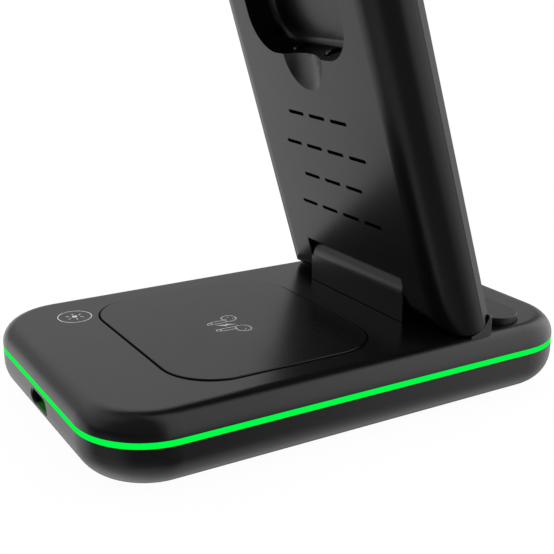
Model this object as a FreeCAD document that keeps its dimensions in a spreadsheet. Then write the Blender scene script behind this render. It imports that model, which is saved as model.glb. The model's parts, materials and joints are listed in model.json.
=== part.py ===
import FreeCAD, Part
import Sketcher
import math
import os
import re

from FreeCAD import Placement, Rotation, Vector

# A folding charging stand: a base with an earbud pad, a leaning phone upright and a watch arm.
# Millimetres. The base stands on z = 0, +Z is up, the phone side faces -Y, the inlet faces +Y.

SIZES = {
    # base shells
    "base_width": 85.0,
    "base_length": 134.0,
    "base_corner": 17.4,
    "base_height": 18.1,
    "base_top_round": 5.1,
    "base_bottom_round": 8.5,
    "base_side": 5.0,
    "base_skin": 2.2,
    "foot_lift": 0.6,
    # light strip between the shells
    "strip_low": 11.95,
    "strip_height": 1.45,
    "strip_depth": 3.0,
    "led_width": 1.5,
    "led_length": 3.0,
    "led_height": 1.2,
    "led_pitch": 38.0,
    # earbud pad, touch ring and phone rest pad
    "pad_width": 62.8,
    "pad_length": 54.5,
    "pad_corner": 13.0,
    "pad_set": 46.5,
    "pad_sink": 1.0,
    "pad_rise": 0.3,
    "pad_edge": 0.2,
    "trim_gap": 0.25,
    "touch_side": 16.9,
    "touch_end": 18.9,
    "touch_radius": 4.0,
    "touch_thick": 0.5,
    "rest_side": 5.7,
    "rest_radius": 5.8,
    "rest_set": 20.0,
    "rest_sink": 0.8,
    "rest_rise": 2.0,
    "rest_edge": 0.25,
    # feet, bosses and screws of the base
    "foot_radius": 5.0,
    "foot_sink": 1.0,
    "foot_side": 18.5,
    "foot_end": 25.0,
    "boss_radius": 3.5,
    "boss_side": 14.5,
    "boss_end": 11.0,
    "boss_split": 9.0,
    "screw_radius": 1.1,
    "screw_hole": 1.3,
    "screw_head": 2.3,
    "screw_head_hole": 2.6,
    "screw_head_thick": 1.5,
    "screw_seat": 3.6,
    "screw_bite": 5.0,
    "screw_pilot_gap": 0.05,
    # power inlet and main board
    "port_z": 8.75,
    "port_width": 10.8,
    "port_height": 3.9,
    "port_lead": 0.6,
    "socket_width": 8.94,
    "socket_height": 3.26,
    "socket_wall": 0.3,
    "socket_length": 9.0,
    "socket_back": 1.0,
    "socket_set": 1.8,
    "tongue_width": 6.69,
    "tongue_thick": 0.7,
    "tongue_set": 0.6,
    "board_width": 44.0,
    "board_length": 44.0,
    "board_thick": 1.6,
    "board_set": 5.5,
    "post_radius": 2.6,
    "post_x": 18.5,
    "post_y": 16.5,
    "small_screw": 0.9,
    "small_head": 1.9,
    "small_head_thick": 1.1,
    "small_bite": 2.0,
    "chip_width": 12.0,
    "chip_length": 10.0,
    "chip_height": 1.6,
    # earbud coil and ballast
    "coil_outer": 20.0,
    "coil_inner": 8.0,
    "coil_thick": 1.2,
    "ferrite_margin": 1.0,
    "ferrite_thick": 0.6,
    "ballast_width": 60.0,
    "ballast_length": 46.0,
    "ballast_thick": 2.5,
    "ballast_set": 4.0,
    # upright
    "lean": 72.94,
    "hinge_set": 36.0,
    "fold_gap": 0.6,
    "slab_thick": 13.6,
    "slab_length": 118.0,
    "slab_half_foot": 39.56,
    "slab_half_top": 36.63,
    "slab_corner": 16.0,
    "slab_rear_round": 9.0,
    "bevel_in": 1.49,
    "panel_edge": 1.27,
    "panel_thick": 3.69,
    "panel_skin": 2.4,
    "panel_seam": 0.12,
    "plateau_inset": 2.6,
    "plateau_low": 9.0,
    "plateau_top_gap": 4.0,
    "slab_skin": 2.0,
    "cavity_half": 31.0,
    "cavity_low": 9.7,
    "cavity_high": 54.0,
    "cavity_corner": 4.0,
    # hinge between base and upright
    "block_half": 21.7,
    "block_rear": 7.4,
    "block_front": 2.5,
    "block_step": 0.12,
    "block_end_round": 1.0,
    "block_sink": 0.4,
    "barrel_radius": 4.0,
    "move_gap": 0.3,
    "notch_side_gap": 0.4,
    "pin_radius": 2.0,
    "pin_half": 34.0,
    "pin_fit": 0.02,
    "pin_run": 0.04,
    "washer_radius": 3.9,
    "washer_hole": 2.2,
    "washer_thick": 0.8,
    "washer_gap": 0.1,
    "block_screw_x": 14.0,
    "block_screw_y": 4.2,
    "block_screw_bite": 4.6,
    "ridge_side": 3.1,
    "ridge_front": 7.8,
    "ridge_tail": 1.0,
    "ridge_top": 5.0,
    "ridge_sink": 1.8,
    "ridge_edge": 0.8,
    # vents
    "vent_length": 7.3,
    "vent_width": 1.02,
    "vent_pitch": 9.86,
    "vent_row": 9.13,
    "vent_low": 20.8,
    # watch pocket
    "pocket_half": 21.9,
    "pocket_low": 64.35,
    "pocket_high": 112.6,
    "pocket_depth": 8.2,
    "pocket_low_corner": 10.0,
    "pocket_high_corner": 1.2,
    "pocket_floor_round": 2.0,
    "scoop_radius": 8.7,
    "scoop_depth": 2.4,
    "latch_x": 7.5,
    "latch_width": 1.6,
    "latch_length": 3.9,
    "latch_n": 2.45,
    "latch_depth": 1.6,
    "detent_radius": 0.7,
    "detent_off": 1.45,
    "detent_rise": 0.4,
    "detent_set": 1.6,
    # upright's inner parts
    "phone_coil_outer": 21.0,
    "phone_coil_inner": 9.0,
    "phone_coil_thick": 0.9,
    "phone_coil_low": 37.0,
    "phone_coil_high": 86.0,
    "coil_bay_half": 26.0,
    "coil_bay_high": 110.0,
    "upright_board_width": 48.0,
    "upright_board_length": 36.0,
    "upright_board_s": 33.0,
    "upright_post_rise": 2.8,
    "upright_post_x": 21.5,
    "upright_post_s": 14.0,
    "upright_post_radius": 2.3,
    # watch arm
    "arm_s": 108.0,
    "arm_n": 4.0,
    "arm_half": 21.5,
    "arm_back": 2.5,
    "arm_reach": 42.8,
    "arm_top": 2.5,
    "arm_under": 5.1,
    "arm_tip_corner": 9.6,
    "arm_back_corner": 2.5,
    "arm_top_round": 0.8,
    "arm_under_round": 2.2,
    "arm_pin_radius": 1.25,
    "arm_pin_half": 25.0,
    "arm_pin_fit": 0.02,
    "arm_pin_run": 0.03,
    "arm_pin_end_gap": 0.2,
    "puck_y": 22.4,
    "puck_radius": 15.0,
    "puck_rise": 0.3,
    "puck_sink": 1.2,
    "puck_gap": 0.1,
    "puck_edge": 0.4,
    "arm_bay_half": 16.5,
    "arm_bay_low": 4.6,
    "arm_bay_high": 38.6,
    "arm_bay_corner": 6.0,
    "arm_bay_roof": 1.0,
    "cover_ledge": 1.2,
    "cover_thick": 1.2,
    "watch_coil_outer": 12.0,
    "watch_coil_inner": 5.5,
    "watch_coil_thick": 1.2,
    "watch_magnet": 4.5,
}

DERIVED = {
    "hinge_y": "hinge_set - base_length / 2",
    "pad_y": "hinge_y + pad_set",
    "touch_x": "base_width / 2 - touch_side",
    "touch_y": "base_length / 2 - touch_end",
    "rest_span": "base_width - 2 * (rest_side + rest_radius)",
    "rest_y": "rest_set - base_length / 2",
    "foot_x": "base_width / 2 - foot_side",
    "foot_y": "base_length / 2 - foot_end",
    "boss_x": "base_width / 2 - boss_side",
    "boss_y": "base_length / 2 - boss_end",
    "ballast_y": "hinge_y + ballast_set",
    "ridge_half": "base_width / 2 - ridge_side",
    "base_top": "foot_lift + base_height",
    "strip_high": "strip_low + strip_height",
    "floor_top": "foot_lift + base_skin",
    "ceiling": "base_top - base_skin",
    "board_top": "port_z - socket_height / 2",
    "board_low": "board_top - board_thick",
    "board_y": "base_length / 2 - board_set - board_length / 2",
    "socket_front": "base_length / 2 - socket_set",
    "slab_half": "slab_thick / 2",
    "panel_low": "slab_half - panel_thick",
    "hinge_z": "base_top + slab_half + fold_gap",
    "hinge_rise": "slab_half + fold_gap",
    "notch_half": "block_half + notch_side_gap",
    "notch_high": "block_rear + move_gap",
    "pocket_floor": "pocket_depth - slab_half",
    "scoop_ball": "(scoop_radius^2 + scoop_depth^2) / (2 * scoop_depth)",
    "coil_top": "slab_half - panel_skin",
    "coil_bay_floor": "coil_top - phone_coil_thick - ferrite_thick",
    "upright_board_low": "slab_skin + upright_post_rise - slab_half",
    "arm_y": "hinge_y + arm_s * cos(lean) + arm_n * sin(lean)",
    "arm_z": "hinge_z + arm_s * sin(lean) - arm_n * cos(lean)",
    "arm_bay_top": "arm_top - puck_sink - arm_bay_roof",
}

FAR = "200"
REACH = 1.2
SHORT = 0.5
QUARTER = math.pi / 2

doc = FreeCAD.newDocument("charger")
sheet = doc.addObject("Spreadsheet::Sheet", "Sizes")
for row, (name, value) in enumerate(SIZES.items(), 1):
    sheet.set(f"A{row}", name)
    sheet.set(f"B{row}", str(value))
    sheet.setAlias(f"B{row}", name)
for row, (name, text) in enumerate(DERIVED.items(), len(SIZES) + 1):
    sheet.set(f"A{row}", name)
    sheet.set(f"B{row}", "=" + text)
    sheet.setAlias(f"B{row}", name)
doc.recompute()

NAMES = set(SIZES) | set(DERIVED)
pieces = []


def formula(text):
    """Write sizes named in a text as cells of the sheet."""
    return re.sub(r"[a-z_]+\w*", lambda word: "Sizes." + word[0] if word[0] in NAMES else word[0], text)


def number(text):
    """Present value of a text of sizes."""
    return float(sheet.evalExpression(formula(text)))


def bind(thing, field, text):
    thing.setExpression(field, formula(text))


def new_body(label, frame="base"):
    """A piece in the base's frame, the leaning upright's frame or the watch arm's frame."""
    body = doc.addObject("PartDesign::Body", label)
    body.Label = label
    body.AllowCompound = True
    if frame == "upright":
        body.Placement = Placement(Vector(0, 1, 1), Rotation(Vector(1, 0, 0), 45))
        bind(body, "Placement.Base.y", "hinge_y")
        bind(body, "Placement.Base.z", "hinge_z")
        bind(body, "Placement.Rotation.Angle", "lean")
    if frame == "arm":
        bind(body, "Placement.Base.y", "arm_y")
        bind(body, "Placement.Base.z", "arm_z")
    pieces.append(body)
    return body


def plane_of(body, role):
    return [item for item in body.Origin.OriginFeatures if item.Role == role][0]


def new_sketch(body, role, x="0", y="0", z="0"):
    """Sketch on one of the body's planes, its own origin shifted within that plane's frame."""
    sketch = body.newObject("Sketcher::SketchObject", body.Label + "_sketch")
    sketch.AttachmentSupport = (plane_of(body, role + "_Plane"), [""])
    sketch.MapMode = "FlatFace"
    bind(sketch, "AttachmentOffset.Base.x", x)
    bind(sketch, "AttachmentOffset.Base.y", y)
    bind(sketch, "AttachmentOffset.Base.z", z)
    return sketch


def hold(sketch, name, text, kind, *places):
    """A named dimension of a sketch, bound to sizes."""
    index = sketch.addConstraint(Sketcher.Constraint(kind, *places, number(text)))
    sketch.renameConstraint(index, name)
    bind(sketch, "Constraints." + name, text)


def tie(sketch, kind, *places):
    sketch.addConstraint(Sketcher.Constraint(kind, *places))


def rectangle(sketch, width, length):
    """Rectangle about the sketch's origin."""
    w = number(width) / 2
    h = number(length) / 2
    corners = [Vector(-w, -h, 0), Vector(w, -h, 0), Vector(w, h, 0), Vector(-w, h, 0)]
    for side in range(4):
        sketch.addGeometry(Part.LineSegment(corners[side], corners[(side + 1) % 4]))
    for side in range(4):
        tie(sketch, "Coincident", side, 2, (side + 1) % 4, 1)
        tie(sketch, "Vertical" if side % 2 else "Horizontal", side)
    tie(sketch, "Symmetric", 0, 1, 2, 1, -1, 1)
    hold(sketch, "width", width, "DistanceX", 0, 1, 0, 2)
    hold(sketch, "length", length, "DistanceY", 1, 1, 1, 2)


def rounded(sketch, width, length, corner):
    """Rectangle with equal round corners about the sketch's origin."""
    w = number(width) / 2
    h = number(length) / 2
    r = number(corner)
    up = Vector(0, 0, 1)
    lines = [
        (Vector(r - w, -h, 0), Vector(w - r, -h, 0)),
        (Vector(w, r - h, 0), Vector(w, h - r, 0)),
        (Vector(w - r, h, 0), Vector(r - w, h, 0)),
        (Vector(-w, h - r, 0), Vector(-w, r - h, 0)),
    ]
    centres = [Vector(w - r, r - h, 0), Vector(w - r, h - r, 0), Vector(r - w, h - r, 0), Vector(r - w, r - h, 0)]
    for start, end in lines:
        sketch.addGeometry(Part.LineSegment(start, end))
    for turn, centre in enumerate(centres):
        start = (turn - 1) * QUARTER
        sketch.addGeometry(Part.ArcOfCircle(Part.Circle(centre, up, r), start, start + QUARTER))
    for side in range(4):
        tie(sketch, "Tangent", side, 2, 4 + side, 1)
        tie(sketch, "Tangent", 4 + side, 2, (side + 1) % 4, 1)
        tie(sketch, "Vertical" if side % 2 else "Horizontal", side)
    for side in range(1, 4):
        tie(sketch, "Equal", 4, 4 + side)
    tie(sketch, "Symmetric", 4, 3, 6, 3, -1, 1)
    hold(sketch, "corner", corner, "Radius", 4)
    hold(sketch, "width", width, "DistanceX", 3, 1, 1, 1)
    hold(sketch, "length", length, "DistanceY", 0, 1, 2, 1)


def slot(sketch, span, radius):
    """Obround along the sketch's x about its origin; the span lies between the end centres."""
    a = number(span) / 2
    r = number(radius)
    up = Vector(0, 0, 1)
    sketch.addGeometry(Part.LineSegment(Vector(-a, -r, 0), Vector(a, -r, 0)))
    sketch.addGeometry(Part.ArcOfCircle(Part.Circle(Vector(a, 0, 0), up, r), -QUARTER, QUARTER))
    sketch.addGeometry(Part.LineSegment(Vector(a, r, 0), Vector(-a, r, 0)))
    sketch.addGeometry(Part.ArcOfCircle(Part.Circle(Vector(-a, 0, 0), up, r), QUARTER, 3 * QUARTER))
    for item in range(4):
        tie(sketch, "Tangent", item, 2, (item + 1) % 4, 1)
    tie(sketch, "Horizontal", 0)
    tie(sketch, "Equal", 1, 3)
    tie(sketch, "Symmetric", 1, 3, 3, 3, -1, 1)
    hold(sketch, "radius", radius, "Radius", 1)
    hold(sketch, "span", span, "DistanceX", 3, 3, 1, 3)


def circle(sketch, radius):
    """Circle about the sketch's origin."""
    sketch.addGeometry(Part.Circle(Vector(), Vector(0, 0, 1), number(radius)))
    tie(sketch, "Coincident", 0, 3, -1, 1)
    hold(sketch, "radius", radius, "Radius", 0)


def two_circles(sketch, x, radius):
    """Equal circles left and right of the sketch's origin."""
    for sign in (1, -1):
        sketch.addGeometry(Part.Circle(Vector(sign * number(x), 0, 0), Vector(0, 0, 1), number(radius)))
    tie(sketch, "PointOnObject", 0, 3, -1)
    tie(sketch, "Symmetric", 0, 3, 1, 3, -1, 1)
    tie(sketch, "Equal", 0, 1)
    hold(sketch, "radius", radius, "Radius", 0)
    hold(sketch, "place_x", x, "DistanceX", -1, 1, 0, 3)


def four_circles(sketch, x, y, radius):
    """Equal circles in the four quarters about the sketch's origin."""
    for sx, sy in ((1, 1), (-1, 1), (-1, -1), (1, -1)):
        centre = Vector(sx * number(x), sy * number(y), 0)
        sketch.addGeometry(Part.Circle(centre, Vector(0, 0, 1), number(radius)))
    tie(sketch, "Symmetric", 0, 3, 1, 3, -2)
    tie(sketch, "Symmetric", 0, 3, 2, 3, -1, 1)
    tie(sketch, "Symmetric", 0, 3, 3, 3, -1)
    for item in range(1, 4):
        tie(sketch, "Equal", 0, item)
    hold(sketch, "radius", radius, "Radius", 0)
    hold(sketch, "place_x", x, "DistanceX", -1, 1, 0, 3)
    hold(sketch, "place_y", y, "DistanceY", -1, 1, 0, 3)


def feature(kind, body, sketch, length, both, flip):
    item = body.newObject("PartDesign::" + kind, body.Label + "_" + kind.lower())
    item.Profile = sketch
    item.SideType = "Symmetric" if both else "One side"
    item.Reversed = flip
    bind(item, "Length", length)
    sketch.Visibility = False
    return item


def pad(body, sketch, length, both=False, flip=False):
    return feature("Pad", body, sketch, length, both, flip)


def pocket(body, sketch, length, both=False, flip=False):
    return feature("Pocket", body, sketch, length, both, flip)


def close(a, b):
    return abs(a - b) < 0.02


def level(axis, value):
    """Test for edges that lie in a plane across an axis."""
    def test(edge):
        box = edge.BoundBox
        return close(getattr(box, axis + "Min"), value) and close(getattr(box, axis + "Max"), value)
    return test


def standing(edge):
    """Test for edges along the body's Z."""
    box = edge.BoundBox
    return box.XLength < 0.02 and box.YLength < 0.02 and box.ZLength > SHORT


def edge_feature(kind, body, test):
    """Feature on those edges of the body so far that pass a test."""
    doc.recompute()
    base = body.Tip
    names = [f"Edge{index}" for index, edge in enumerate(base.Shape.Edges, 1) if test(edge)]
    item = body.newObject("PartDesign::" + kind, body.Label + "_" + kind.lower())
    item.Base = (base, names)
    return item


def fillet(body, radius, test):
    bind(edge_feature("Fillet", body, test), "Radius", radius)


def bevel(body, across, deep, test):
    """Flat slope along edges of the front face, by its width on that face and its length on the other."""
    item = edge_feature("Chamfer", body, test)
    item.ChamferType = "Two distances"
    item.FlipDirection = True
    bind(item, "Size", across)
    bind(item, "Size2", deep)


def disc(label, frame, x, y, z, radius, thick, hole=None):
    """Round plate or ring lying across its frame's Z."""
    body = new_body(label, frame)
    sketch = new_sketch(body, "XY", x, y, z)
    circle(sketch, radius)
    pad(body, sketch, thick)
    if hole:
        inner = new_sketch(body, "XY", x, y, z)
        circle(inner, hole)
        pocket(body, inner, thick, flip=True)
    return body


def plate(label, frame, x, y, z, width, length, thick, corner):
    """Flat plate with round corners lying across its frame's Z."""
    body = new_body(label, frame)
    sketch = new_sketch(body, "XY", x, y, z)
    rounded(sketch, width, length, corner)
    pad(body, sketch, thick)
    return body


def rod(label, frame, y, z, radius, length):
    """Round pin along X, centred on x = 0."""
    body = new_body(label, frame)
    sketch = new_sketch(body, "YZ", y, z)
    circle(sketch, radius)
    pad(body, sketch, length, both=True)
    return body


# Base, upper shell.
upper = new_body("base_upper_housing")
outline = new_sketch(upper, "XY", z="strip_high")
rounded(outline, "base_width", "base_length", "base_corner")
pad(upper, outline, "base_top - strip_high")
fillet(upper, "base_top_round", level("Z", number("base_top")))
hollow = new_sketch(upper, "XY", z="strip_high")
rounded(hollow, "base_width - 2 * base_side", "base_length - 2 * base_side", "base_corner - base_side")
pocket(upper, hollow, "ceiling - strip_high", flip=True)

# The ridge cradles the upright's round foot and is open behind for the hinge block.
ridge = new_sketch(upper, "YZ", "hinge_y - (ridge_front + ridge_tail) / 2", "base_top + (ridge_top - ridge_sink) / 2")
rectangle(ridge, "ridge_front - ridge_tail", "ridge_top + ridge_sink")
pad(upper, ridge, "2 * ridge_half", both=True)
fillet(upper, "ridge_edge", lambda edge: close(edge.BoundBox.ZMax, number("base_top + ridge_top"))
       and close(edge.BoundBox.YMin, number("hinge_y - ridge_front")))
cradle = new_sketch(upper, "YZ", "hinge_y", "hinge_z")
circle(cradle, "slab_half + move_gap")
pocket(upper, cradle, "2 * ridge_half + 2", both=True)
tail = new_sketch(upper, "XY", y="hinge_y", z="base_top")
rectangle(tail, "2 * notch_half", "2 * (block_front + move_gap)")
pocket(upper, tail, "ridge_top + 1", flip=True)

# Recesses for the earbud pad, the phone rest pad and the hinge block.
seat = new_sketch(upper, "XY", y="pad_y", z="base_top")
rounded(seat, "pad_width + 2 * trim_gap", "pad_length + 2 * trim_gap", "pad_corner + trim_gap")
pocket(upper, seat, "pad_sink")
seat = new_sketch(upper, "XY", y="rest_y", z="base_top")
slot(seat, "rest_span", "rest_radius + trim_gap")
pocket(upper, seat, "rest_sink")
seat = new_sketch(upper, "XY", y="hinge_y + (block_rear - block_front) / 2", z="base_top")
rectangle(seat, "2 * block_half + 2 * trim_gap", "block_rear + block_front + 2 * trim_gap")
pocket(upper, seat, "block_sink")

# Bosses that meet the lower shell's columns, with pilot holes, and the hinge block's screw holes.
bosses = new_sketch(upper, "XY", z="boss_split")
four_circles(bosses, "boss_x", "boss_y", "boss_radius")
pad(upper, bosses, "ceiling - boss_split + 0.5")
pilots = new_sketch(upper, "XY", z="boss_split")
four_circles(pilots, "boss_x", "boss_y", "screw_radius + screw_pilot_gap")
pocket(upper, pilots, "screw_bite + 0.5", flip=True)
holes = new_sketch(upper, "XY", y="hinge_y + block_screw_y", z="ceiling")
two_circles(holes, "block_screw_x", "screw_hole")
pocket(upper, holes, "base_skin", flip=True)

# Base, lower shell.
lower = new_body("base_lower_housing")
outline = new_sketch(lower, "XY", z="foot_lift")
rounded(outline, "base_width", "base_length", "base_corner")
pad(lower, outline, "strip_low - foot_lift")
fillet(lower, "base_bottom_round", level("Z", number("foot_lift")))
hollow = new_sketch(lower, "XY", z="strip_low")
rounded(hollow, "base_width - 2 * base_side", "base_length - 2 * base_side", "base_corner - base_side")
pocket(lower, hollow, "strip_low - floor_top")
columns = new_sketch(lower, "XY", z="floor_top - 0.5")
four_circles(columns, "boss_x", "boss_y", "boss_radius")
pad(lower, columns, "boss_split - floor_top + 0.5")
holes = new_sketch(lower, "XY", z="foot_lift")
four_circles(holes, "boss_x", "boss_y", "screw_hole")
pocket(lower, holes, "boss_split", flip=True)
heads = new_sketch(lower, "XY", z="0")
four_circles(heads, "boss_x", "boss_y", "screw_head_hole")
pocket(lower, heads, "screw_seat", flip=True)
posts = new_sketch(lower, "XY", y="board_y", z="floor_top - 0.5")
four_circles(posts, "post_x", "post_y", "post_radius")
pad(lower, posts, "board_low - floor_top + 0.5")
pilots = new_sketch(lower, "XY", y="board_y", z="board_low")
four_circles(pilots, "post_x", "post_y", "small_screw + screw_pilot_gap")
pocket(lower, pilots, "small_bite + 0.2")
recess = new_sketch(lower, "XY", z="foot_lift")
four_circles(recess, "foot_x", "foot_y", "foot_radius + trim_gap")
pocket(lower, recess, "foot_sink", flip=True)
inlet = new_sketch(lower, "XZ", y="port_z", z="-base_length / 2")
slot(inlet, "port_width - port_height", "port_height / 2")
pocket(lower, inlet, "base_side + 1", flip=True)
fillet(lower, "port_lead", lambda edge: level("Y", number("base_length / 2"))(edge)
       and edge.BoundBox.ZMin > number("port_z - port_height / 2") - 0.05
       and edge.BoundBox.ZMax < number("port_z + port_height / 2") + 0.05
       and edge.BoundBox.XLength < number("port_width"))

# Light strip all round, between the shells.
strip = new_body("light_guide_strip")
outline = new_sketch(strip, "XY", z="strip_low")
rounded(outline, "base_width", "base_length", "base_corner")
pad(strip, outline, "strip_height")
hollow = new_sketch(strip, "XY", z="strip_low")
rounded(hollow, "base_width - 2 * strip_depth", "base_length - 2 * strip_depth", "base_corner - strip_depth")
pocket(strip, hollow, "strip_height", flip=True)

# Light sources on the lower shell's rim, three a side.
leds = new_body("side_leds")
for side in ("-", ""):
    row = new_sketch(leds, "XY", x=f"{side}(base_width / 2 - strip_depth - 0.1 - led_width / 2)",
                     y="-led_pitch", z="strip_low")
    rectangle(row, "led_width", "led_length")
    first = pad(leds, row, "led_height")
    doc.recompute()
    train = leds.newObject("PartDesign::LinearPattern", "led_row")
    train.Originals = [first]
    train.Direction = (row, ["V_Axis"])
    train.Occurrences = 3
    bind(train, "Length", "2 * led_pitch")
    leds.Tip = train

# Earbud pad, touch sensor and phone rest pad.
pad_body = plate("earbud_pad", "base", "0", "pad_y", "base_top - pad_sink", "pad_width", "pad_length",
                 "pad_sink + pad_rise", "pad_corner")
fillet(pad_body, "pad_edge", level("Z", number("base_top + pad_rise")))
disc("touch_sensor_plate", "base", "touch_x", "touch_y", "ceiling - touch_thick", "touch_radius", "touch_thick")
rest = new_body("phone_rest_pad")
outline = new_sketch(rest, "XY", y="rest_y", z="base_top - rest_sink")
slot(outline, "rest_span", "rest_radius")
pad(rest, outline, "rest_sink + rest_rise")
fillet(rest, "rest_edge", level("Z", number("base_top + rest_rise")))

# Power inlet: a flat-sided tube with a contact tongue, on the main board.
socket = new_body("power_socket")
tube = new_sketch(socket, "XZ", y="port_z", z="-socket_front")
slot(tube, "socket_width - socket_height", "socket_height / 2")
pad(socket, tube, "socket_length")
mouth = new_sketch(socket, "XZ", y="port_z", z="-socket_front")
slot(mouth, "socket_width - socket_height", "socket_height / 2 - socket_wall")
pocket(socket, mouth, "socket_length - socket_back", flip=True)
tongue = new_sketch(socket, "XZ", y="port_z", z="-socket_front + tongue_set")
rectangle(tongue, "tongue_width", "tongue_thick")
pad(socket, tongue, "socket_length - socket_back - tongue_set + 0.3")

board = plate("main_circuit_board", "base", "0", "board_y", "board_low", "board_width", "board_length",
              "board_thick", "1.5")
holes = new_sketch(board, "XY", y="board_y", z="board_low")
four_circles(holes, "post_x", "post_y", "small_screw + 0.15")
pocket(board, holes, "board_thick", flip=True)
chip = new_sketch(board, "XY", y="board_y - 6", z="board_top")
rectangle(chip, "chip_width", "chip_length")
pad(board, chip, "chip_height")

screws = new_body("board_screws")
shanks = new_sketch(screws, "XY", y="board_y", z="board_low - small_bite")
four_circles(shanks, "post_x", "post_y", "small_screw")
pad(screws, shanks, "small_bite + board_thick + 0.2")
heads = new_sketch(screws, "XY", y="board_y", z="board_top")
four_circles(heads, "post_x", "post_y", "small_head")
pad(screws, heads, "small_head_thick")

# Earbud coil under the roof, ballast on the floor, feet and screws below.
disc("earbud_coil", "base", "0", "pad_y", "ceiling - coil_thick", "coil_outer", "coil_thick", "coil_inner")
disc("earbud_ferrite_sheet", "base", "0", "pad_y", "ceiling - coil_thick - ferrite_thick",
     "coil_outer + ferrite_margin", "ferrite_thick")
plate("ballast_plate", "base", "0", "ballast_y", "floor_top", "ballast_width", "ballast_length", "ballast_thick", "4")
feet = new_body("rubber_feet")
rounds = new_sketch(feet, "XY")
four_circles(rounds, "foot_x", "foot_y", "foot_radius")
pad(feet, rounds, "foot_lift + foot_sink")
screws = new_body("base_screws")
heads = new_sketch(screws, "XY", z="screw_seat - screw_head_thick")
four_circles(heads, "boss_x", "boss_y", "screw_head")
pad(screws, heads, "screw_head_thick")
shanks = new_sketch(screws, "XY", z="screw_seat - 0.2")
four_circles(shanks, "boss_x", "boss_y", "screw_radius")
pad(screws, shanks, "boss_split + screw_bite - screw_seat + 0.2")

# Hinge block: a stem on the base and a round knuckle about the hinge axis, with the pin's barrel.
block = new_body("hinge_block")
stem = new_sketch(block, "YZ", "hinge_y + (block_rear - block_front) / 2", "hinge_z - (hinge_rise + block_sink) / 2")
rectangle(stem, "block_rear + block_front", "hinge_rise + block_sink")
pad(block, stem, "2 * block_half", both=True)
knuckle = new_sketch(block, "YZ", "hinge_y", "hinge_z")
radius = number("block_rear - block_step")
rise = number("barrel_radius")
turn = math.asin(rise / radius)
corner = Vector(radius * math.cos(turn), rise, 0)
knuckle.addGeometry(Part.LineSegment(Vector(), Vector(radius, 0, 0)))
knuckle.addGeometry(Part.ArcOfCircle(Part.Circle(Vector(), Vector(0, 0, 1), radius), 0, turn))
knuckle.addGeometry(Part.LineSegment(corner, Vector(0, rise, 0)))
knuckle.addGeometry(Part.LineSegment(Vector(0, rise, 0), Vector()))
for item in range(4):
    tie(knuckle, "Coincident", item, 2, (item + 1) % 4, 1)
tie(knuckle, "Coincident", 0, 1, -1, 1)
tie(knuckle, "Coincident", 1, 3, -1, 1)
tie(knuckle, "Horizontal", 0)
tie(knuckle, "Horizontal", 2)
tie(knuckle, "Vertical", 3)
hold(knuckle, "radius", "block_rear - block_step", "Radius", 1)
hold(knuckle, "rise", "barrel_radius", "DistanceY", 3, 2, 3, 1)
pad(block, knuckle, "2 * block_half", both=True)
fillet(block, "block_end_round", lambda edge: close(abs(edge.BoundBox.XMin), number("block_half"))
       and edge.BoundBox.XLength < 0.02 and isinstance(edge.Curve, Part.Circle))
barrel = new_sketch(block, "YZ", "hinge_y", "hinge_z")
circle(barrel, "barrel_radius")
pad(block, barrel, "2 * block_half", both=True)
bore = new_sketch(block, "YZ", "hinge_y", "hinge_z")
circle(bore, "pin_radius + pin_run")
pocket(block, bore, "2 * block_half + 2", both=True)
pilots = new_sketch(block, "XY", y="hinge_y + block_screw_y", z="base_top - block_sink")
two_circles(pilots, "block_screw_x", "screw_radius + screw_pilot_gap")
pocket(block, pilots, "block_screw_bite + block_sink + 0.4", flip=True)
screws = new_body("hinge_block_screws")
heads = new_sketch(screws, "XY", y="hinge_y + block_screw_y", z="ceiling - screw_head_thick")
two_circles(heads, "block_screw_x", "screw_head")
pad(screws, heads, "screw_head_thick")
shanks = new_sketch(screws, "XY", y="hinge_y + block_screw_y", z="ceiling - 0.2")
two_circles(shanks, "block_screw_x", "screw_radius")
pad(screws, shanks, "base_skin + block_screw_bite + 0.2")


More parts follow.
